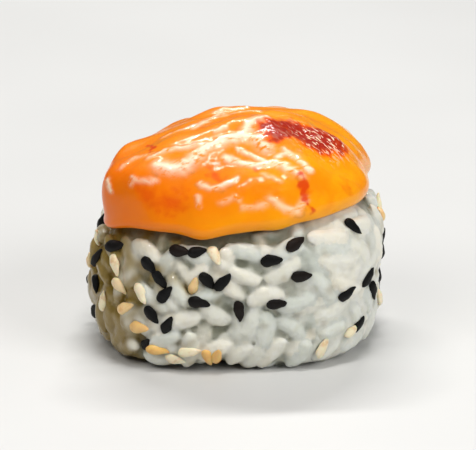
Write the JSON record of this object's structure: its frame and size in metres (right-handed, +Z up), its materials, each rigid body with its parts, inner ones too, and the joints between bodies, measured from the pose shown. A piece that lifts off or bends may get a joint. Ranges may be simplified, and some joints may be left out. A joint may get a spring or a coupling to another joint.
{
  "type": "uramaki roll",
  "caption": "Squared piece of inside-out sushi roll standing on its cut end: rice rolled in black and white sesame, under a thick rippled cap of torched melted cheese.",
  "frame": {"origin": "middle of the base, at the height of the surface that the piece stands on", "axes": "+Z up, -Y towards the viewer of the picture, +X to the viewer's right"},
  "size_m": [0.0452, 0.0421, 0.0352],
  "materials": {
    "sushi_rice": "matte",
    "melted_cheese": "glossy"
  },
  "bodies": {
    "root": {"rice": "sushi_rice", "cheese_cap": "melted_cheese"}
  },
  "joints": []
}
